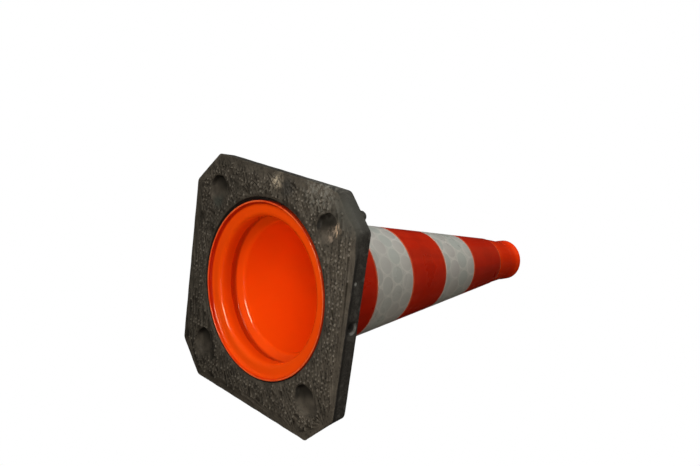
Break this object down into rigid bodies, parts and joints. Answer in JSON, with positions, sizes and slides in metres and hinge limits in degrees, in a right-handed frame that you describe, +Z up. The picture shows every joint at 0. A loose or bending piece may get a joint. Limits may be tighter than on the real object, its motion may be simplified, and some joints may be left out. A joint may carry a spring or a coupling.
{
  "type": "traffic cone",
  "caption": "Road safety cone: square rubber foot with cut corners, clipped-in hollow orange body and red and white retro-reflective film bands.",
  "frame": {"origin": "centre of the foot's underside, on the cone's axis", "axes": "+Z up the cone's axis towards the tip; X and Y square to the foot's straight sides"},
  "size_m": [0.288, 0.288, 0.5],
  "materials": {
    "recycled_rubber": "matt, worn, grey-brown dust",
    "orange_plastic": "smooth, glossy",
    "red_film": "smooth retro-reflective film",
    "white_film": "smooth retro-reflective film, honeycomb cells"
  },
  "bodies": {
    "base": {"base_plate": "recycled_rubber"},
    "cone": {"cone_body": "orange_plastic", "lower_red_band": "red_film", "lower_white_band": "white_film", "middle_red_band": "red_film", "upper_white_band": "white_film", "upper_red_band": "red_film"}
  },
  "joints": [
    {"name": "body_swivel", "type": "hinge", "parent": "base", "child": "cone", "pos_m": [0, 0, 0.015], "axis": [0, 0, 1], "continuous": true}
  ]
}
